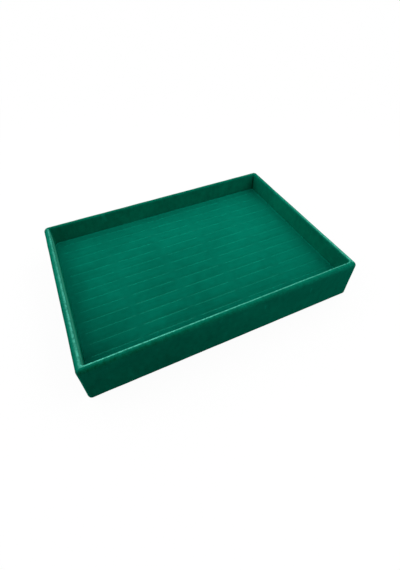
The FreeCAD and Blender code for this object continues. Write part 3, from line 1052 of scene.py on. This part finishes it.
print("sides can be stitched to a field")

# %% [markdown]
# The pad's velvet
# The cloth goes from the field over the soft edge of the foam, down its sides and in under the card.
# The foam pushes the sides out a little, most near the top, so they bulge towards the lining.

# %% Cover the pad
PAD_EDGE_RADIUS = 0.65 * MM
PAD_BULGE = 0.32 * MM
PAD_TURN_IN = 8.0 * MM
PAD_TURN_IN_STEPS = 5
PAD_FOLD_STEPS = 3
PAD_SIDE_STEPS = 5
PAD_EDGE_STEPS = 6


def pad_side_view():
    """Inset and height of each loop of the cloth, from its turned-in edge up to the flat top."""
    fold = 2 * velvet_thickness
    foot = pad_low.z
    shoulder = pad_high.z - PAD_EDGE_RADIUS
    view = [(PAD_TURN_IN, foot)] + straight_run((PAD_TURN_IN, foot), (fold, foot), PAD_TURN_IN_STEPS)
    view += quarter_round(fold, foot + fold, fold, FROM_BELOW, PAD_FOLD_STEPS)
    view += straight_run((0, foot + fold), (-PAD_BULGE, shoulder), PAD_SIDE_STEPS)
    inner = PAD_EDGE_RADIUS - PAD_BULGE
    view += quarter_round(inner, shoulder, PAD_EDGE_RADIUS, FROM_OUTSIDE, PAD_EDGE_STEPS)
    return view


def pad_velvet():
    add_pad_sides(velvet_field, pad_high, PAD_CORNER_RADIUS, pad_side_view())
    piece = new_piece("pad_velvet_cloth", velvet_field, pad_pile)
    thicken(piece, velvet_thickness)
    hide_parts("pad_velvet")
    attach(piece, "insert")
    return piece


cover = pad_velvet()
print(f"pad velvet of {len(cover.data.polygons)} faces")

# %% [markdown]
# A tile of foam
# Under the velvet lies a slab of open-cell foam on its card, and the same die that slits the velvet goes
# right through it. So the foam's tile has a top, a bottom and the two faces of its cut. A cell pattern
# roughens the cut faces, which show when a slit is opened.

# %% Shape the foam's tile
FOAM_COLOUR = (0.030, 0.060, 0.050, 1)
FOAM_SHADES = (0.4, 1.6)
FOAM_ROUGHNESS = 0.95
FOAM_SPECULAR = 0.1
CELL_SCALE = 2500
CELL_DEPTH = 0.2 * MM
CELL_RELIEF = 0.7
FOAM_GAPE = 0.10 * MM

foam_low, foam_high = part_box("pad_foam")


def foam_finish():
    """Dark foam, full of small open cells, with painted shade in their pits."""
    finish = Finish("pad_foam")
    cell = finish.node("ShaderNodeTexVoronoi", {"feature": "F1"},
                       {"Vector": finish.place, "Scale": CELL_SCALE})
    # Painted shade: the colour darkens into each cell's pit and lightens at its rim, as the bump does.
    finish.set(Base_Color=finish.shade(FOAM_COLOUR, cell.between(*FOAM_SHADES)),
               Roughness=FOAM_ROUGHNESS, Specular_IOR_Level=FOAM_SPECULAR)
    finish.bump(cell, CELL_DEPTH, CELL_RELIEF)
    return finish.material


def slit_foam_tile(name, material):
    """Patch of foam round one slit: top, bottom and the faces of the cut."""
    mesh = bmesh.new()
    lines_x, before, behind = tile_lines()
    for lines_y, side, lip in ((before, -1, -1), (behind, 1, 0)):
        edges = []
        for height in (0, foam_low.z - foam_high.z):
            grid = lay_patch(mesh, lines_x, lines_y, height, side * FOAM_GAPE)
            edges.append(grid[lip])
        top, bottom = edges
        for here in range(len(lines_x) - 1):
            if max(abs(lines_x[here]), abs(lines_x[here + 1])) <= SLIT_LENGTH / 2 + WELD:
                mesh.faces.new((top[here], top[here + 1], bottom[here + 1], bottom[here]))
    return new_piece(name, mesh, material)


foam = foam_finish()
foam_tile = slit_foam_tile("foam_tile", foam)
print(f"foam tile of {len(foam_tile.data.polygons)} faces")

# %% [markdown]
# The pad's foam
# The tree of the velvet repeats the foam's tile too, without the swell and the dropped lips of the cloth.
# Loops close the sides from the lower border to the upper one, and one pass turns all faces outward.

# %% Fill the pad
FOAM_CORNER_RADIUS = PAD_CORNER_RADIUS - velvet_thickness
FOAM_EDGE_RADIUS = 0.3 * MM
FOAM_SIDE_STEPS = 4
FOAM_EDGE_STEPS = 4


def pad_foam():
    mesh = slit_field(foam_tile, foam_high.z, 0, 0, foam)
    foot = border_lines(mesh, foam_low.z)
    shoulder = foam_high.z - FOAM_EDGE_RADIUS
    view = [(0, foam_low.z)] + straight_run((0, foam_low.z), (0, shoulder), FOAM_SIDE_STEPS)
    view += quarter_round(FOAM_EDGE_RADIUS, shoulder, FOAM_EDGE_RADIUS, FROM_OUTSIDE, FOAM_EDGE_STEPS)
    loops = add_pad_sides(mesh, foam_high, FOAM_CORNER_RADIUS, view)
    stitch(mesh, loops[0], foot)
    bmesh.ops.recalc_face_normals(mesh, faces=mesh.faces)
    piece = new_piece("pad_foam_slab", mesh, foam)
    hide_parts("pad_foam")
    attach(piece, "insert")
    return piece


slab = pad_foam()
print(f"foam of {len(slab.data.polygons)} faces")

# %% [markdown]
# Boards, card and paper
# The rest of the tray is board and paper, and those solids already have their true shape, so they only
# need a surface. Greyboard and card are pressed from waste paper and show short pale and dark fibres.
# Gummed tape and lining paper are smoother. One recipe serves all of them, with its own colour,
# amount of flecks and depth of relief.

# %% Finish the boards and papers
PAPERS = {"greyboard": ((0.36, 0.34, 0.31, 1), 0.55, 0.06 * MM),
          "pad_card": ((0.45, 0.42, 0.37, 1), 0.35, 0.03 * MM),
          "stay_paper": ((0.62, 0.52, 0.38, 1), 0.25, 0.02 * MM),
          "underside_paper": ((0.012, 0.030, 0.024, 1), 0.30, 0.02 * MM)}
PAPER_NODES = {"greyboard": ["base_board", "front_wall_board", "back_wall_board", "left_wall_board",
                             "right_wall_board"],
               "pad_card": ["pad_card"],
               "stay_paper": [node for node in nodes if node.startswith("corner_stay")],
               "underside_paper": ["underside_sheet"]}
FIBRE_SCALE = 1400
FIBRE_LIE = (0.3, 1, 1)
FIBRE_DETAIL = 4.0
FIBRES_IN_CLOUD = 8
CLOUD_SHARE = 0.3
PAPER_ROUGHNESS = (0.80, 0.95)
PAPER_SPECULAR = 0.2
PAPER_RELIEF = 0.6


def paper(name, colour, fleck, relief):
    """Paper or board whose fibres lie mostly along its length."""
    finish = Finish(name)
    fibre = finish.noise(FIBRE_SCALE, FIBRE_DETAIL, FIBRE_LIE)
    cloud = finish.noise(FIBRE_SCALE / FIBRES_IN_CLOUD)
    tone = 1 + fibre.spread(fleck) + cloud.spread(CLOUD_SHARE * fleck)
    finish.set(Base_Color=finish.shade(colour, tone), Roughness=fibre.between(*PAPER_ROUGHNESS),
               Specular_IOR_Level=PAPER_SPECULAR)
    finish.bump(fibre, relief, PAPER_RELIEF)
    return finish.material


for slot, (colour, fleck, relief) in PAPERS.items():
    material = paper(slot, colour, fleck, relief)
    for node in PAPER_NODES[slot]:
        nodes[node].material_slots[0].link = "OBJECT"
        nodes[node].material_slots[0].material = material
    print(f"{slot} on {len(PAPER_NODES[slot])} pieces")

# %% [markdown]
# The finished tray
# The box round the dressed tray is printed, in millimetres.

# %% Print the size of the dressed tray
visual_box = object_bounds()
spans = [f"{(high - low) / MM:.2f}" for low, high in zip(*visual_box)]
print(f"dressed tray of {' x '.join(spans)} mm")
